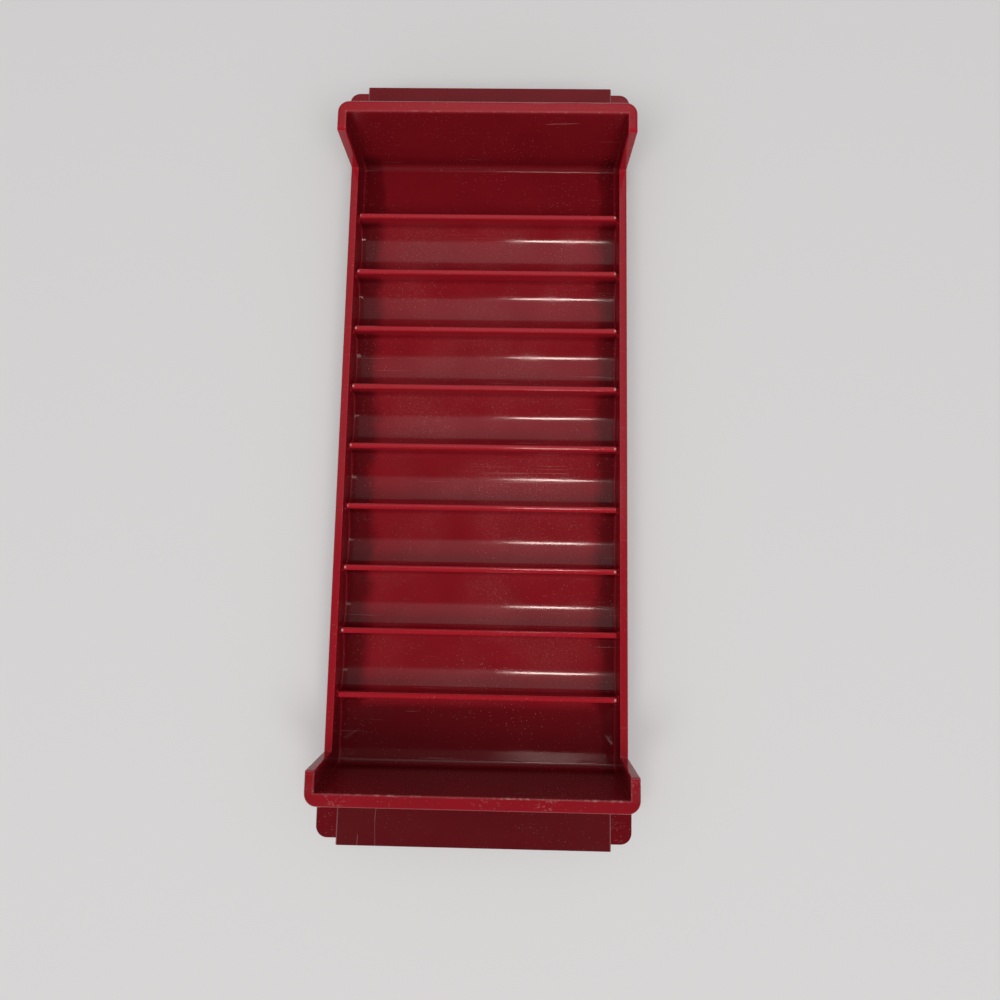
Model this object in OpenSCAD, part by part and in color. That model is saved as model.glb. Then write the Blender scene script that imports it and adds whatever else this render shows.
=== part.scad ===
// Coin roll tray: one glossy red moulding. Ten round-bottomed troughs lie side by side across it,
// one coin roll in each, with thin ribs between them. The side walls are low, level with the ribs,
// so that a roll can be lifted by its ends. The end walls are high, return along the sides as
// short cheeks, and carry a label ledge outside.
// The tray is drawn in the regions that its mould forms, and they meet face to face.
// Millimetres. +X across the tray, +Y along it, +Z up, origin at the middle of the underside.

/* [Troughs] */
// Number of troughs in the row
trough_count = 10; // [2:1:16]
// Distance from one crest to the next
trough_pitch = 21.3; // [17:0.1:30]
// Width of the rib between two troughs, and of its flat crest
crest_w = 1.9; // [1.2:0.1:4]
// Radius of the two long edges of a crest
crest_edge_r = 0.4; // [0.1:0.05:0.5]
// Depth of a trough, from the crests to the middle of its floor
trough_depth = 8.8; // [7:0.1:14]
// Radius of a trough's floor
floor_r = 26; // [16:0.5:60]
// Radius where a trough's floor turns up into the side of a rib
trough_corner_r = 2.2; // [0.6:0.1:4]
// Thickness of the floor under the middle of a trough
floor_t = 2.2; // [1.4:0.1:4]
// Thickness of the curved skin under the rest of a trough's floor
skin_t = 2.6; // [2.3:0.1:5]

/* [Side walls] */
// Clear width between the side walls at their rims
inner_w = 95.6; // [70:0.2:140]
// Width of a side rim
side_wall_t = 2.7; // [1.8:0.1:6]
// How far the side rims stand above the crests
side_rim_rise = 0.4; // [0:0.1:6]
// Radius of the outer edge of a side rim
side_edge_r = 0.6; // [0.2:0.1:1.2]
// Length over which the end of a crest slopes down to the side wall
crest_end_run = 1.3; // [0.5:0.1:6]
// How far the end of a crest slopes down before it meets the side wall
crest_end_drop = 2.5; // [0.5:0.1:5]
// Draft of the side walls' inner faces, in degrees
inner_draft = 1.5; // [0.5:0.5:8]
// Draft of every outer face, in degrees
outer_draft = 1.3; // [0.2:0.1:4]

/* [End walls] */
// Height of the end rims above the crests
end_rim_rise = 20.8; // [8:0.5:30]
// Width of an end rim
end_wall_t = 4.2; // [2.5:0.1:8]
// Radius of the outer edge along the top of an end wall and its cheeks
end_edge_r = 1; // [0.2:0.1:1.5]
// Distance from the last crest to the inner edge of the end rim
end_bay = 25.9; // [22:0.1:40]
// Lean of the end walls' inner faces, in degrees
end_draft = 2.8; // [0.5:0.1:10]
// Radius where the floor turns up into an end wall
end_fillet_r = 2.3; // [1:0.1:5]
// Length of a cheek along the top, from the end rim's inner edge
cheek_len = 6.5; // [3:0.5:14]
// Lean of a cheek's front edge, in degrees
cheek_draft = 2.8; // [0.5:0.1:10]
// Radius of the tray's four upright corners
corner_r = 4; // [1:0.5:6]

/* [Label ledges] */
// Length of a ledge, out from the end rim
ledge_len = 13.8; // [8:0.1:30]
// Thickness of a ledge
ledge_t = 2.5; // [1.5:0.1:5]
// Height of a ledge's top above the crests
ledge_rise = 5.7; // [-4:0.1:10]
// Radius of a ledge's outer corners
ledge_corner_r = 4; // [1:0.5:7]
// Width of the square-cornered label pad on a ledge
pad_w = 87.8; // [40:0.2:94]
// Height of the label pad above its ledge
pad_rise = 0.5; // [0.3:0.1:2]
// How far the label pad stands out past the edge of its ledge
pad_lip = 2; // [0.8:0.1:4]

/* [Hidden] */
$fn = 96;

tray_red = [0.62, 0.05, 0.08];
pad_red = [0.55, 0.06, 0.09];
fillet_steps = 8;

trough_half_w = (trough_pitch - crest_w) / 2;
crest_z = floor_t + trough_depth;
side_rim_z = crest_z + side_rim_rise;
// Centre of the floor's arc, and of the corner arcs that touch both it and a rib's side
floor_centre_z = floor_t + floor_r;
corner_turn = asin((trough_half_w - trough_corner_r) / (floor_r - trough_corner_r));
trough_corner_y = trough_half_w - trough_corner_r;
trough_corner_z = floor_centre_z - (floor_r - trough_corner_r) * cos(corner_turn);
end_rim_z = crest_z + end_rim_rise;
ledge_z = crest_z + ledge_rise;
last_crest_y = (trough_count / 2 - 1) * trough_pitch;
last_trough_y = last_crest_y + trough_pitch / 2;
rim_in_y = last_crest_y + end_bay;
rim_out_y = rim_in_y + end_wall_t;
ledge_y = rim_out_y + ledge_len;
rim_in_x = inner_w / 2;
rim_out_x = rim_in_x + side_wall_t;
crest_end_x = rim_in_x - crest_end_run;
crest_foot_z = crest_z - crest_end_drop;
corner_x = wall_out_x(end_rim_z) - corner_r;
corner_y = rim_out_y - corner_r;
// Where a ledge begins beside a round corner, a little past the corner's start
ledge_root_y = corner_y + corner_r / 4;
// Longer than the tray in any direction, for prisms that other faces cut to length
through = 4 * (ledge_y + rim_out_x);

// Where each drafted face lies at height z
function wall_in_x(z) = rim_in_x - max(0, side_rim_z - z) * tan(inner_draft);
function wall_out_x(z) = rim_out_x + (z - side_rim_z) * tan(outer_draft);
function end_in_y(z) = rim_in_y - (end_rim_z - z) * tan(end_draft);
function end_out_y(z) = rim_out_y - (end_rim_z - z) * tan(outer_draft);
function cheek_y(z) = rim_in_y - cheek_len - (end_rim_z - max(z, side_rim_z)) * tan(cheek_draft);

// A YZ outline drawn out along X, and an XZ outline drawn out along Y
module along_x(length) rotate([90, 0, 90]) linear_extrude(length, center = true) children();
module along_y(length) rotate([90, 0, 0]) linear_extrude(length, center = true) children();

module at_front() mirror([0, 1, 0]) children();
module at_left() mirror([1, 0, 0]) children();

// Rectangle from [-half_x, y_low] to [half_x, y_high] with its two far corners rounded
module round_ended(half_x, y_low, y_high, r) {
    translate([-half_x, y_low]) square([2 * half_x, y_high - r - y_low]);
    translate([r - half_x, y_low]) square([2 * (half_x - r), y_high - y_low]);
    for (side = [-1, 1]) translate([side * (half_x - r), y_high - r]) circle(r);
}

// Upright section of an outer face whose top, at height z and distance d, has a round edge
module outer_section(d, z, edge_r) {
    edge_z = z - edge_r;
    edge_d = d - edge_r * (tan(outer_draft) + 1 / cos(outer_draft));
    polygon([
        [0, 0], [d - z * tan(outer_draft), 0],
        [edge_d + edge_r * cos(outer_draft), edge_z - edge_r * sin(outer_draft)],
        [edge_d, z], [0, z]
    ]);
    translate([edge_d, edge_z]) circle(edge_r);
}

// The outermost strip of the tray, as wide as its upright corners' radius
module corner_section() outer_section(corner_r, end_rim_z, end_edge_r);

// Everything inside the drafted outer faces of the tray's back half. The same strip runs along
// the sides and the end, and turns round the corners as a cone.
module outer_form() {
    translate([-corner_x, 0, 0]) cube([2 * corner_x, corner_y, end_rim_z]);
    translate([0, corner_y, 0]) along_x(2 * corner_x) corner_section();
    for (side = [0, 1]) mirror([side, 0, 0]) {
        translate([corner_x, corner_y / 2, 0]) along_y(corner_y) corner_section();
        translate([corner_x, corner_y, 0]) rotate_extrude(angle = 90) corner_section();
    }
}

// Width of the trough bed at every height, with the ends of the crests sloping to the side walls
module bed_form() along_y(through) polygon([
    [-wall_in_x(0), 0], [wall_in_x(0), 0], [wall_in_x(crest_foot_z), crest_foot_z],
    [crest_end_x, crest_z], [-crest_end_x, crest_z], [-wall_in_x(crest_foot_z), crest_foot_z]
]);

// The channel of one trough, open at the top, about y = 0: a wide floor arc, two corner arcs that
// run on from it, and upright sides
module channel() {
    arc_end_y = floor_r * sin(corner_turn);
    intersection() {
        translate([0, floor_centre_z]) circle(floor_r);
        translate([-arc_end_y, 0]) square([2 * arc_end_y, trough_corner_z]);
    }
    for (side = [-1, 1]) translate([side * trough_corner_y, trough_corner_z]) circle(trough_corner_r);
    translate([-trough_half_w, trough_corner_z]) square([2 * trough_half_w, 2 * trough_depth]);
}

// The bit that rounds the crest's edge on the +Y side of a trough
module crest_edge() translate([trough_half_w, crest_z - crest_edge_r]) difference() {
    translate([-crest_edge_r, 0]) square([2 * crest_edge_r, 2 * crest_edge_r]);
    translate([crest_edge_r, 0]) circle(crest_edge_r);
    translate([crest_edge_r, -crest_edge_r]) square(4 * crest_edge_r);
}

// The shallow hollow under a rib, outside the curved skin of the trough's floor
module underside_groove() difference() {
    translate([-trough_pitch / 2, -floor_t]) square([trough_pitch, crest_z]);
    translate([0, floor_centre_z]) circle(floor_r + skin_t);
}

// Cross-section of a trough between two crests
module trough_section() difference() {
    translate([-trough_pitch / 2, 0]) square([trough_pitch, crest_z]);
    channel();
    underside_groove();
    for (side = [0, 1]) mirror([side, 0]) crest_edge();
}

// Fillet where the flat floor of the last trough meets the leaning end wall
module end_fillet() {
    centre_z = floor_t + end_fillet_r;
    centre_y = end_in_y(centre_z) - end_fillet_r / cos(end_draft);
    sweep = 90 - end_draft;
    polygon(concat(
        [[end_in_y(floor_t), floor_t]],
        [for (k = [0:fillet_steps]) let (a = -end_draft - sweep * k / fillet_steps)
            [centre_y + end_fillet_r * cos(a), centre_z + end_fillet_r * sin(a)]]
    ));
}

// Cross-section of the last trough: round at the crest, flat from its middle on to the end wall
module end_trough_section() {
    difference() {
        polygon([
            [last_crest_y, 0], [end_in_y(0), 0], [end_in_y(floor_t), floor_t],
            [last_trough_y, floor_t], [last_trough_y, crest_z], [last_crest_y, crest_z]
        ]);
        translate([last_trough_y, 0]) channel();
        translate([last_trough_y, 0]) mirror([1, 0]) crest_edge();
        intersection() {
            translate([last_trough_y, 0]) underside_groove();
            translate([last_crest_y - trough_pitch, -floor_t]) square([1.5 * trough_pitch, crest_z]);
        }
    }
    end_fillet();
}

module inner_trough(i) color(tray_red) intersection() {
    translate([0, (i - (trough_count + 1) / 2) * trough_pitch, 0])
        along_x(through) trough_section();
    bed_form();
}

module end_trough() color(tray_red) intersection() {
    along_x(through) end_trough_section();
    bed_form();
}

module trough(i) {
    if (i == 1) at_front() end_trough();
    else if (i == trough_count) end_trough();
    else inner_trough(i);
}

module side_wall() color(tray_red) along_y(2 * cheek_y(side_rim_z)) intersection() {
    outer_section(rim_out_x, side_rim_z, side_edge_r);
    polygon([[wall_in_x(0), 0], [through, 0], [through, side_rim_z], [rim_in_x, side_rim_z]]);
}

module cheek() color(tray_red) intersection() {
    outer_form();
    along_x(through) polygon([
        [cheek_y(0), 0], [end_in_y(0), 0], [rim_in_y, end_rim_z],
        [cheek_y(end_rim_z), end_rim_z], [cheek_y(side_rim_z), side_rim_z]
    ]);
    along_y(through) polygon([
        [wall_in_x(0), 0], [through, 0], [through, end_rim_z],
        [rim_in_x, end_rim_z], [rim_in_x, side_rim_z]
    ]);
}

module end_wall() color(tray_red) intersection() {
    outer_form();
    along_x(through) polygon([
        [end_in_y(0), 0], [ledge_y, 0], [ledge_y, end_rim_z], [rim_in_y, end_rim_z]
    ]);
}

// The ledge is as wide as the tray at each height, and reaches back along the round corners of
// the end wall that carries it
module ledge() color(tray_red) difference() {
    intersection() {
        translate([0, 0, ledge_z - ledge_t]) linear_extrude(ledge_t)
            round_ended(wall_out_x(ledge_z), ledge_root_y, ledge_y, ledge_corner_r);
        along_y(through) polygon([
            [-wall_out_x(0), 0], [wall_out_x(0), 0],
            [wall_out_x(ledge_z), ledge_z], [-wall_out_x(ledge_z), ledge_z]
        ]);
    }
    outer_form();
}

module label_pad() color(pad_red) along_x(pad_w) polygon([
    [end_out_y(ledge_z), ledge_z], [ledge_y, ledge_z], [ledge_y, ledge_z - ledge_t],
    [ledge_y + pad_lip, ledge_z - ledge_t], [ledge_y + pad_lip, ledge_z + pad_rise],
    [end_out_y(ledge_z + pad_rise), ledge_z + pad_rise]
]);

for (i = [1:trough_count]) trough(i);
at_left() side_wall();  // left_side_wall
side_wall();  // right_side_wall
at_front() end_wall();  // front_end_wall
end_wall();  // back_end_wall
at_front() at_left() cheek();  // front_left_cheek
at_front() cheek();  // front_right_cheek
at_left() cheek();  // back_left_cheek
cheek();  // back_right_cheek
at_front() ledge();  // front_ledge
ledge();  // back_ledge
at_front() label_pad();  // front_label_pad
label_pad();  // back_label_pad
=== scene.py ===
# %% [markdown] # A red coin roll tray This lesson dresses a packed CAD model of a counter tray
# for rolled coins. The real tray is one glossy red moulding: ten round-bottomed troughs with thin
# ribs between them, two low side walls, two high end walls that turn the corner as short cheeks,
# and a label ledge outside each end. Everything made here goes where those solids are.

from math import asin, atan, cos, degrees, pi, radians, sin, sqrt, tan

import bmesh
import bpy
from mathutils import Matrix, Vector


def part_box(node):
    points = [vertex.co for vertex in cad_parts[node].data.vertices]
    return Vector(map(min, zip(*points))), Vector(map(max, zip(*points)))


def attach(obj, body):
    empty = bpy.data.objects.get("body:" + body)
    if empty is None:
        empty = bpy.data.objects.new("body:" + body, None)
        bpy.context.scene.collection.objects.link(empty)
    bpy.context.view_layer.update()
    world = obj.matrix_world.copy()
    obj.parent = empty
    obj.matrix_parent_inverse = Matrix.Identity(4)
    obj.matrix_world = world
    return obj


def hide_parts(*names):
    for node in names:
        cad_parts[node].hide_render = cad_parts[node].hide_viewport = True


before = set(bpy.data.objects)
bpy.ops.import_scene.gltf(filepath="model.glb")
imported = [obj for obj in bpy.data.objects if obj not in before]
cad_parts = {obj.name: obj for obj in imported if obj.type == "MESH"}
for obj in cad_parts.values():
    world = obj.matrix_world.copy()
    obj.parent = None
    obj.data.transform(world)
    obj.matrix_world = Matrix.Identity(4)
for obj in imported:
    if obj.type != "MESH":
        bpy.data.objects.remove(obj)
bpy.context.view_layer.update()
MM = 0.001

# %% [markdown]
# ## Sizes
# A size that a solid's box shows is read from the frame, so that the looks follow the CAD model.
# A radius, a wall or a draft doesn't show in a box, so it is written here once, as on a drawing.

# %% Sizes from the frame
trough_low, trough_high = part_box("trough_2")
side_low, side_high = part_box("right_side_wall")
end_low, end_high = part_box("back_end_wall")
cheek_low, cheek_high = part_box("back_right_cheek")
ledge_low, ledge_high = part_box("back_ledge")
pad_low, pad_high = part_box("back_label_pad")

pitch = trough_high.y - trough_low.y
crest_z = trough_high.z
side_rim_z = side_high.z
side_foot_x = side_low.x
end_rim_z = end_high.z
rim_out_y = end_high.y
rim_in_y = cheek_high.y
cheek_foot_y = cheek_low.y
trough_count = sum(name.startswith("trough_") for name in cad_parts)
half_count = trough_count // 2
last_rib_y = (half_count - 1) * pitch
last_trough_y = last_rib_y + pitch / 2
print("troughs:", trough_count, "pitch:", round(pitch / MM, 2), "mm, crests at", round(crest_z / MM, 2))

# %% Sizes from the drawing
rib_w = 1.9 * MM
rib_crown_r = 5 * MM
trough_depth = 8.8 * MM
floor_r = 26 * MM
trough_corner_r = 2.2 * MM
skin_t = 2.6 * MM
side_wall_t = 2.7 * MM
rib_end_run = 1.3 * MM
rib_end_drop = 2.5 * MM
cheek_len = 6.5 * MM
end_fillet_r = 2.3 * MM
corner_r = 4 * MM
outer_draft = radians(1.3)

floor_z = crest_z - trough_depth
rim_in_x = side_high.x - side_wall_t
rib_end_x = rim_in_x - rib_end_run
rib_foot_z = crest_z - rib_end_drop
cheek_top_y = rim_in_y - cheek_len
corner_x = end_high.x - corner_r
corner_y = rim_out_y - corner_r
end_lean = (rim_in_y - end_low.y) / end_rim_z


def wall_in_x(z):
    """Where the inner face of a side wall lies at height z."""
    return side_foot_x + (rim_in_x - side_foot_x) * z / side_rim_z


def end_in_y(z):
    """Where the inner face of an end wall lies at height z."""
    return rim_in_y - (end_rim_z - z) * end_lean


def cheek_y(z):
    """Where the leaning front edge of a cheek lies at height z."""
    return cheek_foot_y + (cheek_top_y - cheek_foot_y) * (z - side_rim_z) / (end_rim_z - side_rim_z)


print("end walls lean by", round(degrees(atan(end_lean)), 1), "degrees")

# %% [markdown]
# ## The camera
# The photograph was taken by hand from above, a little in front of the middle and tilted forward.
# Its place was found by fitting the ribs and rims of the tray, so only the result is needed here.

# %% Camera
camera_place = Vector((10.622, -46.789, 248.98)) * MM
camera_turn = (0.118186, 0.017228, 0.016976)
camera_data = bpy.data.cameras.new("photo_camera")
camera_data.lens = 24.948
camera_data.sensor_width = 36
camera_data.clip_start = 10 * MM
camera = bpy.data.objects.new("photo_camera", camera_data)
camera.rotation_mode = "ZYX"
camera.rotation_euler = camera_turn
camera.location = camera_place
bpy.context.scene.collection.objects.link(camera)
bpy.context.scene.camera = camera
print("camera", round(camera_place.z / MM), "mm above the table")

# %% [markdown]
# ## A pen for outlines
# A moulding is easiest to draw as its toolmaker would: as outlines that are drawn out. A bmesh has
# no pen, but two operators make one. Extruding a vertex draws a straight line, and spinning a
# vertex draws a true arc that touches the line before it.


# %% Pen
class Pen:
    """Draws a chain of edges on one plane.

    flat turns (u, v) into a point in space, and axis is the direction that arcs turn about.
    """

    def __init__(self, bm, flat, axis, u, v):
        self.bm = bm
        self.flat = flat
        self.axis = axis
        self.tip = bmesh.ops.create_vert(bm, co=flat(u, v))["vert"][0]

    def line(self, u, v):
        self.tip = bmesh.ops.extrude_vert_indiv(self.bm, verts=[self.tip])["verts"][0]
        self.tip.co = self.flat(u, v)
        return self.tip

    def arc(self, u, v, angle, steps):
        spun = bmesh.ops.spin(self.bm, geom=[self.tip], cent=self.flat(u, v), axis=self.axis,
                              angle=angle, steps=steps, use_duplicate=False)
        self.tip = next(item for item in spun["geom_last"] if isinstance(item, bmesh.types.BMVert))
        return self.tip


def side_view(y, z):
    return Vector((0, y, z))


def new_verts(result):
    return [item for item in result["geom"] if isinstance(item, bmesh.types.BMVert)]


JOIN = 1e-7


def mirror_ends(bm):
    """Copies the back half of a drawing to the front and joins them where they touch."""
    bmesh.ops.mirror(bm, geom=bm.verts[:] + bm.edges[:], matrix=Matrix(), merge_dist=JOIN, axis="Y")


print("pen: lines by extruding a point, arcs by spinning it")

# %% [markdown]
# ## The trough bed
# Seen from the side, the bed is one line that runs from end wall to end wall: over a crowned rib,
# round a tight corner, along a shallow floor, and up to the next rib. Half of it is drawn with the
# pen and mirrored, then the whole line is drawn out sideways. Only the right half of the tray is
# built first, and a later step mirrors it. Drawing it out and cutting it with a leaning plane gives
# the scalloped foot of the side wall for nothing: no point of that curve has to be worked out.

# %% Bed outline
CROWN_STEPS = 6
CORNER_STEPS = 6
FLOOR_STEPS = 12
FILLET_STEPS = 6
floor_centre_z = floor_z + floor_r
trough_half_w = (pitch - rib_w) / 2
corner_turn = asin((trough_half_w - trough_corner_r) / (floor_r - trough_corner_r))
corner_centre_z = floor_centre_z - (floor_r - trough_corner_r) * cos(corner_turn)

bm = bmesh.new()
crown_turn = asin(rib_w / 2 / rib_crown_r)
crown_drop = rib_crown_r * (1 - cos(crown_turn))
pen = Pen(bm, side_view, (1, 0, 0), 0, crest_z)
pen.arc(0, crest_z - rib_crown_r, -crown_turn, CROWN_STEPS // 2)
for rib in range(half_count):
    rib_side_y = rib * pitch + rib_w / 2
    pen.line(rib_side_y, corner_centre_z)
    pen.arc(rib_side_y + trough_corner_r, corner_centre_z, pi / 2 - corner_turn, CORNER_STEPS)
    if rib < half_count - 1:
        pen.arc(rib * pitch + pitch / 2, floor_centre_z, 2 * corner_turn, FLOOR_STEPS)
        far_side_y = (rib + 1) * pitch - rib_w / 2
        pen.arc(far_side_y - trough_corner_r, corner_centre_z, pi / 2 - corner_turn, CORNER_STEPS)
        pen.line(far_side_y, crest_z - crown_drop)
        pen.arc((rib + 1) * pitch, crest_z - rib_crown_r, -2 * crown_turn, CROWN_STEPS)
pen.arc(last_trough_y, floor_centre_z, corner_turn, FLOOR_STEPS // 2)
pen.line(cheek_foot_y, floor_z)
fillet_z = floor_z + end_fillet_r
fillet_y = end_in_y(fillet_z) - end_fillet_r * sqrt(1 + end_lean ** 2)
pen.line(fillet_y, floor_z)
lean_angle = asin(end_lean / sqrt(1 + end_lean ** 2))
pen.arc(fillet_y, fillet_z, pi / 2 - lean_angle, FILLET_STEPS)
pen.line(end_in_y(side_rim_z), side_rim_z)
mirror_ends(bm)
print("bed outline:", len(bm.verts), "points in", len(bm.edges), "edges")

# %% Bed surface
TOUCH = 1e-6
swept = bmesh.ops.extrude_edge_only(bm, edges=bm.edges[:])
bmesh.ops.translate(bm, verts=new_verts(swept), vec=(side_high.x, 0, 0))


def cut_away(bm, faces, point, outward):
    """Cuts the faces along a plane, throws away what lies outside it, returns the new edges."""
    parts = dict.fromkeys(part for face in faces for part in (face, *face.edges, *face.verts))
    cut = bmesh.ops.bisect_plane(bm, geom=list(parts), dist=TOUCH, plane_co=point, plane_no=outward,
                                 clear_outer=True)
    return [item for item in cut["geom_cut"] if isinstance(item, bmesh.types.BMEdge)]


all_ribs = range(1 - half_count, half_count)
wall_slope = (rim_in_x - side_foot_x) / side_rim_z
cut_away(bm, bm.faces[:], (side_foot_x, 0, 0), (1, 0, -wall_slope))
ribs = [f for f in bm.faces if f.calc_center_median().z > corner_centre_z
        and abs(f.calc_center_median().y) < last_rib_y + rib_w]
rib_end_cuts = cut_away(bm, ribs, (rib_end_x, 0, crest_z),
                        (rib_end_drop, 0, wall_in_x(rib_foot_z) - rib_end_x))
rib_end_verts = dict.fromkeys(v for edge in rib_end_cuts for v in edge.verts)
for rib in all_ribs:
    corners = [v for v in rib_end_verts if abs(v.co.y - rib * pitch) < rib_w]
    bmesh.ops.contextual_create(bm, geom=corners)
print("bed:", len(bm.faces), "faces,", len(rib_end_cuts), "edges where the ribs slope to the wall")

# %% [markdown]
# ## The inner walls
# The side wall's inner face is flat, so it is one many-sided face between the scalloped cut and
# the straight rim. The end walls and cheeks stand higher: their lower edges are extruded up to the
# end rim, leaning a little outward so that the real moulding leaves its mould.


# %% Inner faces
def find(bm, x, y, z):
    """The vertex at a known place."""
    near = min(bm.verts, key=lambda v: (v.co - Vector((x, y, z))).length_squared)
    assert (near.co - Vector((x, y, z))).length < 10 * TOUCH, (x, y, z)
    return near


def edge_between(bm, a, b):
    """The edge from a to b, made if it is missing."""
    known = next((edge for edge in a.link_edges if edge.other_vert(a) is b), None)
    return known or bmesh.ops.contextual_create(bm, geom=[a, b])["edges"][0]


def chain(bm, *verts):
    return [edge_between(bm, a, b) for a, b in zip(verts, verts[1:])]


def fill(bm, edges):
    """One flat face inside a closed ring of edges."""
    made = bmesh.ops.contextual_create(bm, geom=edges)["faces"]
    assert len(made) == 1, len(made)
    return made[0]


scallops = [e for e in bm.edges if e.is_boundary
            and all(abs(v.co.x - wall_in_x(v.co.z)) < TOUCH for v in e.verts)]
rim_ends = {s: find(bm, rim_in_x, s * end_in_y(side_rim_z), side_rim_z) for s in (-1, 1)}
rim_feet = {}
for s in (-1, 1):
    rim_feet[s] = bmesh.ops.extrude_vert_indiv(bm, verts=[rim_ends[s]])["verts"][0]
    rim_feet[s].co = (rim_in_x, s * cheek_foot_y, side_rim_z)
rim_line = chain(bm, rim_ends[-1], rim_feet[-1], rim_feet[1], rim_ends[1])
fill(bm, scallops + rim_line)

collar = [rim_line[0], rim_line[2]]
for s in (-1, 1):
    collar += chain(bm, rim_ends[s], find(bm, 0, s * end_in_y(side_rim_z), side_rim_z))
raised = new_verts(bmesh.ops.extrude_edge_only(bm, edges=collar))
for v in raised:
    s = 1 if v.co.y > 0 else -1
    on_cheek_front = abs(v.co.y) < (cheek_foot_y + end_in_y(side_rim_z)) / 2
    v.co = (v.co.x, s * (cheek_top_y if on_cheek_front else rim_in_y), end_rim_z)
print("inner faces:", len(scallops), "scallop edges,", len(raised), "corners on the end rims")

# %% [markdown]
# ## The outer skirt
# From above, the tray is a rectangle with round corners. Every outer face leans outward by the
# same draft, so each level of the skirt is the level below it, raised and pushed out. The push goes
# away from the nearest point of a smaller rectangle inside, which turns the corners into cones.


# %% Skirt
def plan_view(x, y):
    return Vector((x, y, 0))


def push_out(v, distance):
    """Moves a point of the skirt away from the smaller rectangle inside."""
    core = Vector((min(v.co.x, corner_x), max(-corner_y, min(v.co.y, corner_y)), v.co.z))
    v.co += (v.co - core).normalized() * distance


def raise_skirt(edges, z):
    """Extrudes the top edges of the skirt up to height z."""
    made = bmesh.ops.extrude_edge_only(bm, edges=edges)
    for v in new_verts(made):
        rise = z - v.co.z
        push_out(v, rise * tan(outer_draft))
        v.co.z = z
    return [item for item in made["geom"] if isinstance(item, bmesh.types.BMEdge)
            and all(abs(v.co.z - z) < TOUCH for v in item.verts)]


ROUND_STEPS = 10
foot_r = corner_r - end_rim_z * tan(outer_draft)
pen = Pen(bm, plan_view, (0, 0, 1), 0, -corner_y - foot_r)
foot_start = pen.tip
pen.line(corner_x, -corner_y - foot_r)
pen.arc(corner_x, -corner_y, pi / 2, ROUND_STEPS)
pen.line(corner_x + foot_r, -cheek_foot_y)
pen.line(corner_x + foot_r, cheek_foot_y)
pen.line(corner_x + foot_r, corner_y)
pen.arc(corner_x, corner_y, pi / 2, ROUND_STEPS)
foot_end = pen.line(0, corner_y + foot_r)
foot_edges = [e for e in bm.edges if all(abs(v.co.z) < TOUCH for v in e.verts)]
low_top = raise_skirt(foot_edges, side_rim_z)
side_rim_edge = max(low_top, key=lambda e: e.calc_length())
tops = [e for e in low_top if e is not side_rim_edge]
for level in (ledge_low.z, ledge_high.z, end_rim_z):
    tops = raise_skirt(tops, level)
for v in bm.verts:
    if v.co.x > rim_in_x + TOUCH and v.co.z > side_rim_z and abs(v.co.y) < corner_y - TOUCH:
        v.co.y = cheek_y(v.co.z) * (1 if v.co.y > 0 else -1)
print("skirt:", len(foot_edges), "edges round the foot, end rims at", round(end_rim_z / MM, 1), "mm")

# %% [markdown]
# ## The rims and the cheeks' front edges
# The rims are flat, and so are the front edges of the cheeks. Each is the one face inside a ring of
# edges that is already there, so the ring is gathered and filled.

# %% Rims
for s in (-1, 1):
    inner_top = find(bm, rim_in_x, s * cheek_top_y, end_rim_z)
    outer = sorted((v for v in bm.verts if v.co.x > rim_in_x + TOUCH and v.co.z > side_rim_z - TOUCH
                    and abs(v.co.y - s * cheek_y(v.co.z)) < TOUCH), key=lambda v: v.co.z)
    fill(bm, chain(bm, rim_feet[s], *outer, inner_top, rim_feet[s]))
    rim_corner = find(bm, rim_in_x, s * rim_in_y, end_rim_z)
    rim_middle = find(bm, 0, s * rim_in_y, end_rim_z)
    rim_outer = find(bm, 0, s * (corner_y + corner_r), end_rim_z)
    ring = chain(bm, outer[-1], inner_top, rim_corner, rim_middle, rim_outer)
    fill(bm, ring + [e for e in tops if e.verts[0].co.y * s > 0])
side_rim_x = side_rim_edge.verts[0].co.x
outer_feet = {s: find(bm, side_rim_x, s * cheek_foot_y, side_rim_z) for s in (-1, 1)}
across_rim = [edge_between(bm, rim_feet[s], outer_feet[s]) for s in (-1, 1)]
fill(bm, [rim_line[1], side_rim_edge] + across_rim)
print("rims filled:", len(bm.faces), "faces so far")

# %% [markdown]
# ## The underside
# Nobody sees the underside in use, but a moulding keeps one wall thickness, so each trough's floor
# is hollowed from below beside its ribs. Only narrow flat lands touch the table. The hollows are
# drawn in a bmesh of their own and then added, so that their edges are easy to tell from the others.

# %% Underside
GROOVE_STEPS = 5
skin_r = floor_r + skin_t
land_turn = asin(sqrt(skin_r ** 2 - floor_centre_z ** 2) / skin_r)
peak_turn = asin(pitch / 2 / skin_r)
groove_turn = peak_turn - land_turn
land_half_w = skin_r * sin(land_turn)
peak_z = floor_centre_z - skin_r * cos(peak_turn)

below = bmesh.new()
pen = Pen(below, side_view, (1, 0, 0), 0, peak_z)
for rib in range(half_count):
    trough_y = rib * pitch + pitch / 2
    pen.arc(trough_y, floor_centre_z, groove_turn, GROOVE_STEPS)
    if rib < half_count - 1:
        pen.line(trough_y + land_half_w, 0)
        pen.arc(trough_y, floor_centre_z, groove_turn, GROOVE_STEPS)
mirror_ends(below)
swept = bmesh.ops.extrude_edge_only(below, edges=below.edges[:])
bmesh.ops.translate(below, verts=new_verts(swept), vec=(side_foot_x, 0, 0))
for v in below.verts:
    v.co.z = max(0, v.co.z)
below_mesh = bpy.data.meshes.new("underside")
below.to_mesh(below_mesh)
below.free()
known_edges = set(bm.edges)
bm.from_mesh(below_mesh)
bpy.data.meshes.remove(below_mesh)
print("underside:", trough_count - 1, "hollows,", round(peak_z / MM, 2), "mm deep")

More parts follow.
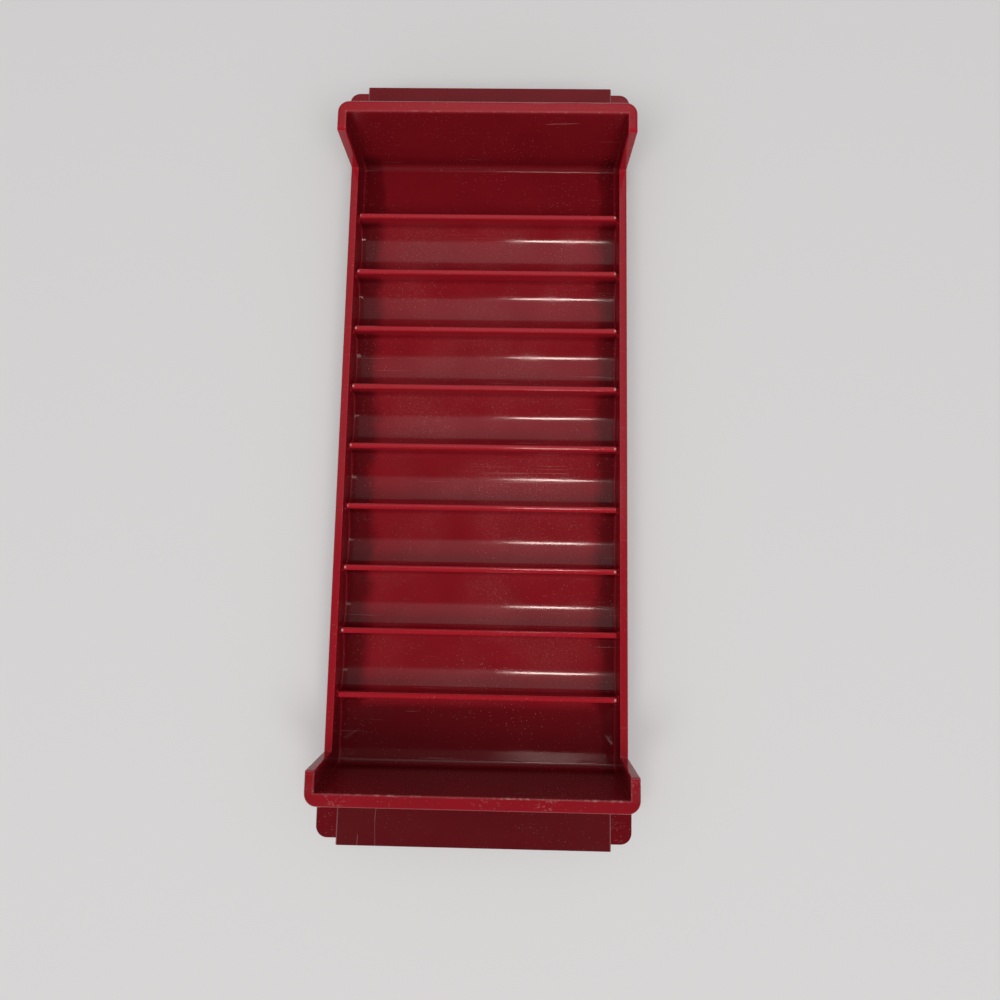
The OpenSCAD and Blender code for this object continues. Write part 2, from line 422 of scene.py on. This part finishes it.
# %% Underside faces
under = [e for e in bm.edges if e not in known_edges]
wall_side = [e for e in under if e.is_boundary and all(v.co.x > TOUCH for v in e.verts)
             and abs(e.verts[0].co.y - e.verts[1].co.y) > TOUCH]
hollow_half_w = pitch / 2 - land_half_w
for rib in all_ribs:
    arcs = [e for e in wall_side
            if abs((e.verts[0].co.y + e.verts[1].co.y) / 2 - rib * pitch) < hollow_half_w]
    feet = [find(bm, side_foot_x, rib * pitch + s * hollow_half_w, 0) for s in (-1, 1)]
    fill(bm, arcs + [edge_between(bm, *feet)])
last_land_y = last_trough_y - land_half_w


def round_hollows(v):
    """True for a point at table height on the edge of the hollowed part."""
    return abs(v.co.z) < TOUCH and v.co.x < side_foot_x + TOUCH and abs(v.co.y) < last_land_y + TOUCH


inner_ring = [e for e in bm.edges if e.is_boundary and all(round_hollows(v) for v in e.verts)
              and any(v.co.x > TOUCH for v in e.verts)]
inner_ring += chain(bm, foot_start, find(bm, 0, -last_land_y, 0))
inner_ring += chain(bm, foot_end, find(bm, 0, last_land_y, 0))
fill(bm, foot_edges + inner_ring)
print("foot: one face with", len(foot_edges) + len(inner_ring), "edges round the hollows")

# %% [markdown]
# ## The whole moulding
# The right half is mirrored, and its two halves are joined along the middle. The ledges come next:
# the band of the end wall at their height is extruded outward, so that their round corners repeat
# the tray's own. At the end flat neighbours are dissolved into one face, which leaves an edge only
# where the real moulding has one.

# %% Mirror and ledges
FLAT = radians(0.2)
bmesh.ops.mirror(bm, geom=bm.verts[:] + bm.edges[:] + bm.faces[:], matrix=Matrix(),
                 merge_dist=TOUCH, axis="X")
bmesh.ops.recalc_face_normals(bm, faces=bm.faces[:])
for s in (-1, 1):
    band = [f for f in bm.faces if s * f.calc_center_median().y > corner_y
            and all(ledge_low.z - TOUCH < v.co.z < ledge_high.z + TOUCH for v in f.verts)]
    wall_y = max(s * v.co.y for f in band for v in f.verts)
    pulled = bmesh.ops.extrude_face_region(bm, geom=band)
    bmesh.ops.translate(bm, verts=new_verts(pulled), vec=(0, s * (ledge_high.y - wall_y), 0))
    bmesh.ops.delete(bm, geom=band, context="FACES")
bmesh.ops.dissolve_limit(bm, angle_limit=FLAT, verts=bm.verts[:], edges=bm.edges[:])
bmesh.ops.recalc_face_normals(bm, faces=bm.faces[:])
open_edges = [e for e in bm.edges if not e.is_manifold]
print("moulding:", len(bm.faces), "faces, open edges:", len(open_edges),
      "volume", round(bm.calc_volume() / MM ** 3 / 1000, 1), "cm3")

# %% [markdown]
# ## Rounded edges
# No edge of a moulding is sharp. Each could be cut round in the mesh, but then every later change
# would have to be made on many narrow faces. A Bevel modifier rounds every edge by its own weight
# instead, so the mesh stays simple to edit. Radii are in millimetres, and full weight is two of them.

# %% Edge radii
RIB_EDGE_R = 0.35
RIB_END_R = 0.35
SCALLOP_R = 0.35
SIDE_RIM_R = 0.6
END_RIM_R = 1.0
RIM_IN_R = 0.35
CHEEK_R = 0.4
CHEEK_TOP_R = 1.6
LEDGE_R = 0.5
LEDGE_ROOT = 0.6 * MM
FOOT_R = 0.4
FULL_WEIGHT = 2
WEIGHT_LAYER = "bevel_weight_edge"
SHARP = radians(25)
underside_top = 0.2 * crest_z


def edge_radius(edge):
    """The radius of an edge in mm, by where it lies on the tray."""
    x, y, z = [abs(part) for part in (edge.verts[0].co + edge.verts[1].co) / 2]
    along_x = abs(edge.verts[0].co.y - edge.verts[1].co.y) < TOUCH
    low, high = sorted(v.co.z for v in edge.verts)
    if high < underside_top:
        at_foot = low < TOUCH and max(x - side_foot_x, y - last_trough_y) > TOUCH
        return FOOT_R if at_foot else 0
    if low > end_rim_z - TOUCH:
        if along_x and y < rim_in_y - MM:
            return CHEEK_TOP_R
        return END_RIM_R if y > rim_in_y + MM or x > rim_in_x + MM else RIM_IN_R
    if y > corner_y:
        at_root = x > ledge_high.x - LEDGE_ROOT and y < corner_y + corner_r
        return 0 if at_root else LEDGE_R
    if y > cheek_foot_y - TOUCH and high > side_rim_z - TOUCH:
        return CHEEK_R
    if x > rim_in_x + MM:
        return SIDE_RIM_R
    if low > side_rim_z - TOUCH:
        return RIM_IN_R
    if low > crest_z - 2 * crown_drop and along_x and x < TOUCH:
        return RIB_EDGE_R
    return SCALLOP_R if x > wall_in_x(z) - TOUCH else RIB_END_R


weight = bm.edges.layers.float.new(WEIGHT_LAYER)
rounded = 0
for edge in bm.edges:
    if edge.calc_face_angle(0) > SHARP:
        edge[weight] = edge_radius(edge) / FULL_WEIGHT
        edge.smooth = edge[weight] > 0
        rounded += edge.smooth
for face in bm.faces:
    face.smooth = True
tray_mesh = bpy.data.meshes.new("tray_moulding")
bm.to_mesh(tray_mesh)
bm.free()
print("rounded edges:", rounded)

# The Weighted Normal modifier keeps flat faces looking flat beside their rounded edges.


# %% Tray piece
TRAY_SEGMENTS = 4


def finish_piece(name, mesh, nodes, width, segments):
    """Links a mesh as a piece of the tray, with rounded edges and even shading."""
    piece = bpy.data.objects.new(name, mesh)
    bpy.context.scene.collection.objects.link(piece)
    bevel = piece.modifiers.new("rounded_edges", "BEVEL")
    bevel.limit_method = "WEIGHT"
    bevel.width = width
    bevel.segments = segments
    bevel.profile = 0.5
    bevel.use_clamp_overlap = False
    even = piece.modifiers.new("even_shading", "WEIGHTED_NORMAL")
    even.weight = 50
    even.keep_sharp = True
    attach(piece, "root")
    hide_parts(*nodes)
    return piece


pad_nodes = {"front_pad": "front_label_pad", "back_pad": "back_label_pad"}
moulding_nodes = sorted(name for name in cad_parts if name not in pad_nodes.values())
tray = finish_piece("tray_moulding", tray_mesh, moulding_nodes,
                    FULL_WEIGHT * MM, TRAY_SEGMENTS)
print(tray.name, "stands for", len(moulding_nodes), "nodes")

# %% [markdown]
# ## Label pads
# Each ledge carries a flat pad with square corners, where a shop would stick its label. The pad
# hooks over the outer edge of its ledge, so its outline is an L lying on its back.

# %% Pads
PAD_EDGE_R = 0.35
PAD_SEGMENTS = 3
pad_lean = (pad_high.z - ledge_high.z) * tan(outer_draft)
pad_corners = [
    (ledge_high.y, ledge_high.z), (ledge_high.y, pad_low.z), (pad_high.y, pad_low.z),
    (pad_high.y, pad_high.z), (pad_low.y + pad_lean, pad_high.z)]
for name, s in (("front_pad", -1), ("back_pad", 1)):
    pad_bm = bmesh.new()
    pen = Pen(pad_bm, side_view, (1, 0, 0), s * pad_low.y, ledge_high.z)
    outline = [pen.tip] + [pen.line(s * y, z) for y, z in pad_corners]
    fill(pad_bm, chain(pad_bm, *outline, outline[0]))
    bmesh.ops.translate(pad_bm, verts=pad_bm.verts[:], vec=(pad_low.x, 0, 0))
    drawn = bmesh.ops.extrude_face_region(pad_bm, geom=pad_bm.faces[:])
    bmesh.ops.translate(pad_bm, verts=new_verts(drawn), vec=(pad_high.x - pad_low.x, 0, 0))
    bmesh.ops.recalc_face_normals(pad_bm, faces=pad_bm.faces[:])
    weight = pad_bm.edges.layers.float.new(WEIGHT_LAYER)
    for edge in pad_bm.edges:
        outside = min(max(abs(v.co.y) - ledge_high.y, v.co.z - ledge_high.z) for v in edge.verts) > TOUCH
        edge[weight] = PAD_EDGE_R if outside else 0
    for face in pad_bm.faces:
        face.smooth = True
    pad_mesh = bpy.data.meshes.new(name)
    pad_bm.to_mesh(pad_mesh)
    pad_bm.free()
    finish_piece(name, pad_mesh, [pad_nodes[name]], MM, PAD_SEGMENTS)
    print(name, "made")

# %% [markdown]
# ## Shader maths
# Node maths reads best as plain Python. This class holds a socket, and each operator adds one Math
# node. Its node method adds any other node: first its settings, then the values or links of its
# sockets. A step is the useful one here: it turns a place on the tray into a soft-edged mask.


# %% Sockets as values
class Wire:
    """A socket in a node tree that can be worked with like a number."""

    def __init__(self, tree, socket=None):
        self.tree = tree
        self.socket = socket

    def node(self, kind, settings=None, inputs=None, out=0):
        made = self.tree.nodes.new("ShaderNode" + kind)
        for name, value in (settings or {}).items():
            setattr(made, name, value)
        for name, value in (inputs or {}).items():
            if isinstance(value, Wire):
                self.tree.links.new(value.socket, made.inputs[name])
            else:
                made.inputs[name].default_value = value
        return Wire(self.tree, made.outputs[out]) if len(made.outputs) else made

    def output(self, name):
        """Another output of the node that this socket belongs to."""
        return Wire(self.tree, self.socket.node.outputs[name])

    def maths(self, operation, *values):
        return self.node("Math", {"operation": operation}, dict(enumerate(values)))

    def __add__(self, other):
        return self.maths("ADD", self, other)

    def __sub__(self, other):
        return self.maths("SUBTRACT", self, other)

    def __rsub__(self, other):
        return self.maths("SUBTRACT", other, self)

    def __mul__(self, other):
        return self.maths("MULTIPLY", self, other)

    def __truediv__(self, other):
        return self.maths("DIVIDE", self, other)

    def __rtruediv__(self, other):
        return self.maths("DIVIDE", other, self)

    def __abs__(self):
        return self.maths("ABSOLUTE", self)

    __radd__ = __add__
    __rmul__ = __mul__

    def larger(self, other):
        return self.maths("MAXIMUM", self, other)

    def step(self, low, high):
        """0 up to low, 1 from high on, and smooth between. A low above the high turns it round."""
        return self.node("MapRange", {"interpolation_type": "SMOOTHSTEP"},
                         {"Value": self, "From Min": low, "From Max": high})


def start_tree(owner):
    """Empties the node tree of a material or a world."""
    owner.use_nodes = True
    owner.node_tree.nodes.clear()
    return Wire(owner.node_tree)


print("a Wire has", len([name for name in vars(Wire) if name.startswith("__r")]), "reflected operators")

# %% [markdown]
# ## Worn red plastic
# The tray is glossy polystyrene or a plastic like it, coloured right through, so a scratch doesn't
# show another colour: it only turns pale and dull. Dust, film, scratches and knocks make the red
# paler, and so do painted highlights on some rib ends and along the inner edges of the end rims and
# the side edges of the pads. Painted light brightens the upper ribs, the end rims and the cheeks'
# front edges, and painted shade darkens the trough ends, the end bays, the ledges and the side rims.
# A painted picture could carry all this, but it would need an unwrapped mesh. Here each kind of wear,
# painted light and painted shade is a mask, made from noise and from the place of a point, both on
# Object coordinates.


# %% Places and noise
def axes(place):
    """The three coordinates of a point, each as a Wire."""
    split = place.node("SeparateXYZ", {}, {"Vector": place})
    return [split.output(axis) for axis in "XYZ"]


def from_middle(place):
    """How far a point lies from the middle of the tray, sideways and along it, and its height."""
    x, y, z = axes(place)
    return abs(x), abs(y), z


def noise(place, scale, detail):
    """A cloudy value round 0.5. The scale is in clouds per metre."""
    return place.node("TexNoise", {}, {"Vector": place, "Scale": scale, "Detail": detail})


def streaks(place, turn, along, across):
    """Noise drawn out into streaks. turn is the angle from the X axis."""
    moved = place.node("Mapping", {}, {
        "Vector": place, "Rotation": (0, 0, turn), "Scale": (along, across, across)})
    return noise(moved, 1.0, 2.0)


print("wear reaches", round(rim_out_y / MM, 1), "mm along the tray and", round(rim_in_x / MM, 1), "across")

# %% [markdown]
# ### Dust and film
# Dust is made of small specks. A Voronoi texture holds one point per cell, and a disc round some of
# the points is a speck. Film is what hands and paper wrappers leave on the trough floors: it is too
# fine to show as specks, so it only lifts the colour a little where no roll has wiped it off.

# %% Dust and film
DUST_CELLS = 1700.0
SPECK_R = 0.32
SPECK_SOFT = 0.12
FILM_GRAIN = 1900.0
FILM_FADE = 25 * MM


def dust_mask(place):
    """Small round specks, thicker where the cloud is, and none on the outer faces."""
    across, along, height = from_middle(place)
    outer_side = across.step(side_high.x - 0.5 * MM, side_high.x - 0.35 * MM)
    outer_end = along.step(rim_out_y - 0.7 * MM, rim_out_y - 0.6 * MM)
    outer_end = outer_end * height.step(pad_high.z, pad_high.z + MM)
    cells = place.node("TexVoronoi", {}, {"Vector": place, "Scale": DUST_CELLS})
    lot = cells.node("SeparateColor", {}, {"Color": cells.output("Color")})
    specks = (SPECK_R * lot.step(0.6, 1.0) - cells).step(0.0, SPECK_SOFT)
    return specks * noise(place, 45.0, 3.0).step(0.3, 0.65) * (1 - outer_side.larger(outer_end))


def film_mask(place):
    """A dull film on the trough floors, wiped thin in places, with a fine grain."""
    across, along, height = from_middle(place)
    floors = height.step(crest_z - MM, floor_z + 4 * MM) * along.step(last_rib_y + 5 * MM, last_rib_y)
    floors = floors * across.step(rim_in_x, rim_in_x - FILM_FADE)
    grain = 0.3 + noise(place, FILM_GRAIN, 2.0).step(0.45, 0.75)
    return floors * grain * noise(place, 35.0, 3.0).step(0.35, 0.65)


print("dust: specks up to", round(2 * SPECK_R / DUST_CELLS / MM, 2), "mm wide")

# %% [markdown]
# ### Scratches
# Rolls slide along a trough and leave hair lines in it, and a loose coin now and then leaves one
# across. Noise that is drawn out about sixty times in one direction turns into such lines.

# %% Scratches
SLIDE_TURN = radians(2)
CROSS_TURN = radians(52)


def scratch_mask(place):
    """Hair lines along the troughs, and a few that cross them."""
    here = noise(place, 55.0, 2.0).step(0.5, 0.65)
    slides = streaks(place, SLIDE_TURN, 22.0, 1500.0).step(0.68, 0.74)
    crossing = streaks(place, CROSS_TURN, 30.0, 1700.0).step(0.71, 0.77)
    return here * slides + 0.6 * crossing


print("scratches lie at", round(degrees(SLIDE_TURN)), "and", round(degrees(CROSS_TURN)), "degrees")

# %% [markdown]
# ### Painted light
# The upper part of the ribs, the end rims and the front edges of the cheeks are painted a brighter
# red, which is painted light: it stands in for the light that these high places catch and the floors
# don't. The back rim gets more of it than the front one. All of them are found by height.

# %% Painted light
RIM_LIGHT = 0.25
BACK_RIM_LIGHT = 0.4


def painted_light_mask(place):
    """Painted light on the upper part of the ribs, the end rims and the front edges of the cheeks."""
    x, y, height = axes(place)
    along = abs(y)
    in_bed = along.step(last_rib_y + 5 * MM, last_rib_y + 2 * MM)
    in_walls = abs(x).step(rim_in_x + 1.4 * MM, rim_in_x - 0.5 * MM)
    # painted light on the ribs, on the end rims (more on the back one) and on the cheeks' front edges
    ribs = height.step(floor_z + 0.5 * MM, floor_z + 6 * MM) * in_bed * in_walls
    rims = (RIM_LIGHT + BACK_RIM_LIGHT * y.step(0, corner_y)) * height.step(end_rim_z - 1.6 * MM, end_rim_z)
    cheek_lean = (cheek_top_y - cheek_foot_y) / (end_rim_z - side_rim_z)
    behind_edge = along - cheek_foot_y - cheek_lean * (height - side_rim_z)
    cheeks = height.step(side_rim_z - MM, side_rim_z) * behind_edge.step(1.5 * MM, 0.3 * MM)
    return ribs + rims + cheeks


print("rubbed: ribs from", round((floor_z + 6 * MM) / MM, 1), "mm up, rims at", round(end_rim_z / MM, 1))

# %% [markdown]
# ### Painted shade
# The ends of each trough, the deep bays at the two ends of the tray, the ledges and the outer part of
# the side rims are painted darker, which is painted shade. It reaches further at the left ends of the
# troughs, and is deepest in the front bay, most of all on its left, and on the front ledge. Its edge
# wanders with noise, because a straight one would look painted.

# %% Painted shade
SHADE_EDGE = -1.5 * MM
LEFT_EDGE = -2 * MM
SHADE_WANDER = 9 * MM
BAY_SHADE = 0.45
FRONT_BAY_SHADE = 0.25
FRONT_LEFT_SHADE = 0.3
LEDGE_SHADE = 0.16
FRONT_LEDGE_SHADE = 0.57
SIDE_RIM_SHADE = 0.25


def painted_shade_mask(place):
    """Painted shade at the trough ends, in the end bays, on the ledges and on the side rims."""
    x, y, height = axes(place)
    across = abs(x)
    along = abs(y)
    wander = SHADE_WANDER * (noise(place, 110.0, 3.0) - 0.5)
    edge = rim_in_x + SHADE_EDGE + LEFT_EDGE * x.step(0, -MM) + wander
    # painted shade at the trough ends, reaching further on the left
    ends = (across - edge).step(-8 * MM, -2 * MM)
    front_bay = y.step(-last_rib_y - 2 * MM, -last_rib_y - 6 * MM)
    # painted shade in the end bays, deepest in the front one and on its left
    bays = BAY_SHADE * along.step(last_rib_y + 2 * MM, last_rib_y + 6 * MM)
    bays = bays + (FRONT_BAY_SHADE + FRONT_LEFT_SHADE * x.step(30 * MM, -40 * MM)) * front_bay
    in_walls = (across - wall_slope * height).step(side_foot_x - 0.1 * MM, side_foot_x - 0.9 * MM)
    low = height.step(crest_z, floor_z + 2 * MM) * height.step(floor_z - 0.4 * MM, floor_z - 0.1 * MM)
    inside = ends.larger(bays) * in_walls * low
    # painted shade on the ledges, most on the front one, and on the outer part of the side rims
    ledges = LEDGE_SHADE * along.step(corner_y, rim_out_y) + FRONT_LEDGE_SHADE * y.step(-corner_y, -rim_out_y)
    ledges = ledges * height.step(ledge_high.z + 6 * MM, ledge_high.z + MM)
    rims = across.step(rim_in_x, rim_in_x + 0.6 * MM) * along.step(cheek_foot_y, cheek_foot_y - 2 * MM)
    rims = SIDE_RIM_SHADE * rims * height.step(side_rim_z - MM, side_rim_z - 0.3 * MM)
    return inside.larger(ledges) + rims


print("painted_shade: an edge that wanders by up to", round(SHADE_WANDER / 2 / MM, 1), "mm")

# %% [markdown]
# ### Knocks, painted highlights and glints
# Rims meet counters, drawers and other trays, so their edges are chipped and their tops scuffed,
# most of all at the front. A thin pale line along the inner edges of the end rims is a painted
# highlight, and the pale tips on some ribs are painted glints. One long scratch crosses the inside of
# the back wall.

# %% Knocks, painted highlights and glints
TIP_GLINT = 1.8
BACK_MARK = 0.8


def rim_knocks_and_highlight(place):
    """Chips and scuffs on the rims, and a painted highlight along the inner edges of the end rims."""
    x, y, height = axes(place)
    across = abs(x)
    front = 0.3 + 0.7 * y.step(0, -MM)
    end_edge = abs(y).step(rim_in_y + 0.7 * MM, rim_in_y + 0.2 * MM) * height.step(end_rim_z - MM, end_rim_z)
    end_edge = end_edge * across.step(rim_in_x + 0.7 * MM, rim_in_x + 0.2 * MM)
    side_edge = across.step(rim_in_x + 0.6 * MM, rim_in_x + 0.2 * MM) * across.step(rim_in_x - MM, rim_in_x)
    chips = noise(place, 500.0, 3.0).step(0.55, 0.75) * (0.8 * end_edge * front + 0.12 * side_edge)
    scuffs = noise(place, 1300.0, 3.0).step(0.56, 0.7) * noise(place, 70.0, 2.0).step(0.5, 0.66)
    top = height.step(end_rim_z - 0.5 * MM, end_rim_z - 0.1 * MM)
    # the fixed 0.12 * end_edge is a painted highlight along the inner edges of the end rims
    return chips + 0.12 * end_edge + 0.5 * scuffs * top * front


def rib_tip_glints(place):
    """Painted glints: pale ends on some of the ribs."""
    across, along, height = from_middle(place)
    from_rib = along.maths("PINGPONG", along, pitch / 2)
    tip = from_rib.step(0.6 * MM, 0.1 * MM) * height.step(crest_z - 0.4 * MM, crest_z - 0.1 * MM)
    tip = tip * across.step(rib_end_x - 0.8 * MM, rib_end_x - 0.3 * MM) * across.step(rim_in_x, rib_end_x)
    some = noise(place, 80.0, 2.0).step(0.4, 0.55)
    return tip * some * along.step(rim_in_y, last_rib_y + 2 * MM)


def back_scratch(place):
    """One scratch on the inside of the back wall, a little uphill to the right."""
    x, y, z = axes(place)
    off_line = z - 0.06 * x - 24.3 * MM - 0.7 * MM * noise(place, 150.0, 1.0)
    line = abs(off_line).step(0.2 * MM, 0.05 * MM) * x.step(19 * MM, 23 * MM) * x.step(33 * MM, 28 * MM)
    return line * y.step(cheek_foot_y, rim_in_y) * y.step(rim_out_y - MM, rim_in_y)


# Chips and scuffs, with a painted highlight on the end rims and painted glints on some rib tips.
def nick_and_glint_mask(place):
    return rim_knocks_and_highlight(place) + TIP_GLINT * rib_tip_glints(place) + BACK_MARK * back_scratch(place)


print("knocks_and_glints: rims,", trough_count - 1, "ribs to choose tips from, and the back wall")

# %% [markdown]
# ### Marks on the pads
# A label is changed by cutting round it, so the front pad has two fine cuts. The pale side edges of
# both pads are a painted highlight. A cut is a place along X that wanders a little, with a very
# narrow step.

# %% Pad marks
SIDE_HIGHLIGHT = 0.22
LONG_CUT_X = -31.4 * MM
LONG_CUT_MARK = 0.1
SHORT_CUT_X = -37 * MM
SHORT_CUT_MARK = 0.14


def cut_line(place, cut_x):
    """A fine line along Y that wanders by half a millimetre."""
    wander = axes(place)[0] + MM * (noise(place, 120.0, 1.0) - 0.5)
    return abs(wander - cut_x).step(0.16 * MM, 0.06 * MM)


def score_and_highlight_mask(place):
    """Painted highlights on the pads' side edges, and on the front pad two lines where a label was cut."""
    x, y = axes(place)[:2]
    # a painted highlight along the side edges of the pads
    sides = SIDE_HIGHLIGHT * abs(x).step(pad_high.x - 0.5 * MM, pad_high.x - 0.2 * MM)
    near_lip = abs(y).step(pad_high.y - 4 * MM, pad_high.y - 3 * MM)
    cuts = LONG_CUT_MARK * cut_line(place, LONG_CUT_X)
    cuts = cuts + SHORT_CUT_MARK * cut_line(place, SHORT_CUT_X) * near_lip
    return sides + cuts * y.step(0, -MM)


print("pad cuts at", round(LONG_CUT_X / MM, 1), "and", round(SHORT_CUT_X / MM, 1), "mm from the middle")

# %% [markdown]
# ## From masks to a shader
# A soft cloud tints the red by a tenth, so that a large face isn't one flat colour. Painted light,
# painted shade and pale marks, some of them painted highlights and glints, are then laid over it in
# turn, each as a Mix node with its mask as the factor. Marks also dull the gloss, and the inner faces
# of the end walls are satin as a whole. A moulded face is never quite flat either, so a very shallow
# bump makes the long reflections waver.

# %% Plastic
PALE = (0.62, 0.36, 0.34, 1)
CLOUDED = 0.9
PAINTED_LIGHT_LEVEL = 1.6
PAINTED_SHADE_LEVEL = 0.45
DUST = 0.22
SCRATCH = 0.14
NICK_AND_GLINT = 0.45
FILM = 0.05
SMUDGE_DULL = 0.07
MARK_DULL = 0.5
SATIN_DULL = 0.15
WAVER_DEPTH = 0.06 * MM
GRAIN_DEPTH = 0.004


def shade(colour, level):
    return (*[level * part for part in colour], 1)


def blend(factor, colour, other):
    """From one colour to another. A Mix node's colour sockets are picked by number: 6, 7 and out 2."""
    return factor.node("Mix", {"data_type": "RGBA"}, {0: factor, 6: colour, 7: other}, out=2)


def plastic(name, colour, roughness, wear_and_glint, extra=None):
    """Glossy plastic with painted light and shade, wear and painted glints from 0 to 1, and extra marks from
    a given mask.
    """
    material = bpy.data.materials.new(name)
    tree = start_tree(material)
    place = tree.node("TexCoord").output("Object")
    plain = blend(noise(place, 60.0, 3.0).step(0.3, 0.7), shade(colour, CLOUDED), shade(colour, 1))
    # painted light on the ribs, end rims and cheek edges
    painted_light = blend(painted_light_mask(place), plain, shade(colour, PAINTED_LIGHT_LEVEL))
    # painted shade at the trough ends, in the bays, on the ledges and on the side rims
    tint = blend(painted_shade_mask(place), painted_light, shade(colour, PAINTED_SHADE_LEVEL))
    marks = wear_and_glint * (DUST * dust_mask(place) + SCRATCH * scratch_mask(place) + NICK_AND_GLINT * nick_and_glint_mask(place))
    marks = marks + extra(place) if extra else marks
    # pale marks, with the painted highlights and glints among them
    worn_and_glinting = blend(marks + FILM * wear_and_glint * film_mask(place), tint, PALE)
    smudge = noise(place, 90.0, 5.0).step(0.4, 0.8)
    along = from_middle(place)[1]
    satin = along.step(rim_in_y - 4 * MM, rim_in_y - 2 * MM) * along.step(rim_in_y + 0.3 * MM, rim_in_y)
    dull = roughness + SMUDGE_DULL * smudge + MARK_DULL * marks + SATIN_DULL * satin
    waver = noise(place, 45.0, 1.0) + GRAIN_DEPTH * noise(place, 700.0, 2.0)
    normal = tree.node("Bump", {}, {"Strength": 1.0, "Distance": WAVER_DEPTH, "Height": waver})
    shader = tree.node("BsdfPrincipled", {}, {"Base Color": worn_and_glinting, "Roughness": dull, "Normal": normal})
    tree.node("OutputMaterial", {}, {"Surface": shader})
    print(name, "has", len(material.node_tree.nodes), "nodes")
    return material


# %% [markdown]
# ## Two finishes
# The tray and its pads are one plastic. The pads are less glossy, as a part of a mould that is left
# unpolished makes them, and they are worn less because nothing slides on them. Their red is a shade
# darker than the tray's, which is painted shade.

# %% Finishes
red = (0.205, 0.0062, 0.0115)
PAD_PAINTED_SHADE = 0.8
tray.data.materials.append(plastic("red_plastic", red, roughness=0.07, wear_and_glint=1.0))
# the pads' red is the tray's red, darkened as painted shade
pad_shaded_red = [PAD_PAINTED_SHADE * part for part in red]
pad_plastic = plastic("pad_plastic", pad_shaded_red, roughness=0.2, wear_and_glint=0.4, extra=score_and_highlight_mask)
for name in pad_nodes:
    bpy.data.objects[name].data.materials.append(pad_plastic)
print("finishes on", tray.name, "and", list(pad_nodes))

# %% [markdown] ## The table The tray stands on a pale, matt table top.

# %% Table
TABLE_HALF = 1.5
TABLE_GREY = (0.64, 0.64, 0.64, 1)
table_bm = bmesh.new()
bmesh.ops.create_grid(table_bm, x_segments=1, y_segments=1, size=TABLE_HALF)
table_mesh = bpy.data.meshes.new("table_top")
table_bm.to_mesh(table_mesh)
table_bm.free()
table = bpy.data.objects.new("table_top", table_mesh)
bpy.context.scene.collection.objects.link(table)
table_material = bpy.data.materials.new("pale_table")
tree = start_tree(table_material)
matt = tree.node("BsdfPrincipled", {}, {"Base Color": TABLE_GREY, "Roughness": 0.9})
tree.node("OutputMaterial", {}, {"Surface": matt})
table_mesh.materials.append(table_material)
print("table:", 2 * TABLE_HALF, "m wide")

# %% [markdown]
# ## The room
# Gloss is mostly what it mirrors. A world can be built for that alone: it asks Light Path which kind
# of ray has left the tray. Glossy rays see a ceiling over the back half of the room, which makes the
# grey band in every trough, and a brighter strip at the horizon, which shows on the steep faces. Other
# rays get a soft even light, and the camera sees a plain pale wall.

# %% Room
WALL_SEEN = 0.62
GLOSS_LOW = 0.03
GLOSS_CEILING = 0.5
GLOSS_HORIZON = 1.1
SOFT_LIGHT = 0.36
SOFT_FROM_ABOVE = 0.16
SOFT_BACK_LOSS = 0.55
CEILING_SIDE_LOSS = 0.55
SIDE_HORIZON = 0.3
LEAST_RISE = 0.001
world = bpy.data.worlds.new("soft_room")
bpy.context.scene.world = world
tree = start_tree(world)
right, back, up = axes(tree.node("TexCoord").output("Generated"))
sideways = abs(right)
slope = back / up.larger(LEAST_RISE)
ceiling = slope.step(0.03, 0.13) * (1 - slope.step(0.76, 0.84)) * up.step(0.0, 0.05)
ceiling = ceiling * (1 - CEILING_SIDE_LOSS * sideways.step(0.08, 0.24))
horizon = back.step(0.9, 0.96) + SIDE_HORIZON * sideways.step(0.85, 0.95)
rays = tree.node("LightPath")
camera_ray = rays.output("Is Camera Ray")
glossy = rays.output("Is Glossy Ray")
mirrored = glossy * (GLOSS_LOW + GLOSS_CEILING * ceiling + GLOSS_HORIZON * horizon)
soft = (SOFT_LIGHT + SOFT_FROM_ABOVE * up) * (1 - SOFT_BACK_LOSS * back)
strength = WALL_SEEN * camera_ray + mirrored + (1 - camera_ray) * (1 - glossy) * soft
background = tree.node("Background", {}, {"Color": (1, 0.985, 1, 1), "Strength": strength})
tree.node("OutputWorld", {}, {"Surface": background})
print("room:", len(world.node_tree.nodes), "nodes")

# %% [markdown]
# ## Lamps
# Four lamps light the tray. A soft one overhead and two from the front left and front right make every
# rib and wall shade the floor beside it. They are kept out of the gloss, where they would each draw a
# line. A small long lamp under the ceiling is the one that shows: it draws the bright line in every
# trough.

# %% Lamps
WARM_WHITE = (1, 0.98, 0.97)
ROSY = (1, 0.8, 0.74)


def lamp(name, place, size, energy, colour, in_gloss=False):
    """An oval lamp. One that is kept out of the gloss points at the tray, the other straight down."""
    data = bpy.data.lights.new(name, "AREA")
    data.shape = "ELLIPSE"
    data.size, data.size_y = size
    data.energy = energy
    data.color = colour
    made = bpy.data.objects.new(name, data)
    made.location = place
    if not in_gloss:
        made.rotation_euler = (-made.location).to_track_quat("-Z", "Y").to_euler()
    made.visible_glossy = in_gloss
    bpy.context.scene.collection.objects.link(made)


lamp("overhead_lamp", (0.0, 0.15, 1.8), (0.3, 0.3), 8.5, WARM_WHITE)
lamp("front_left_lamp", (-0.6, -0.86, 1.34), (0.7, 0.7), 5.4, WARM_WHITE)
lamp("front_right_lamp", (0.6, -0.86, 1.34), (0.7, 0.7), 5.4, WARM_WHITE)
lamp("ceiling_lamp", (0.13, 0.174, 1.84), (0.26, 0.065), 1.3, ROSY, in_gloss=True)

# %% [markdown]
# ## Finish
# Standard view keeps a colour as it is written.

# %% Finish
bpy.context.scene.view_settings.view_transform = "Standard"
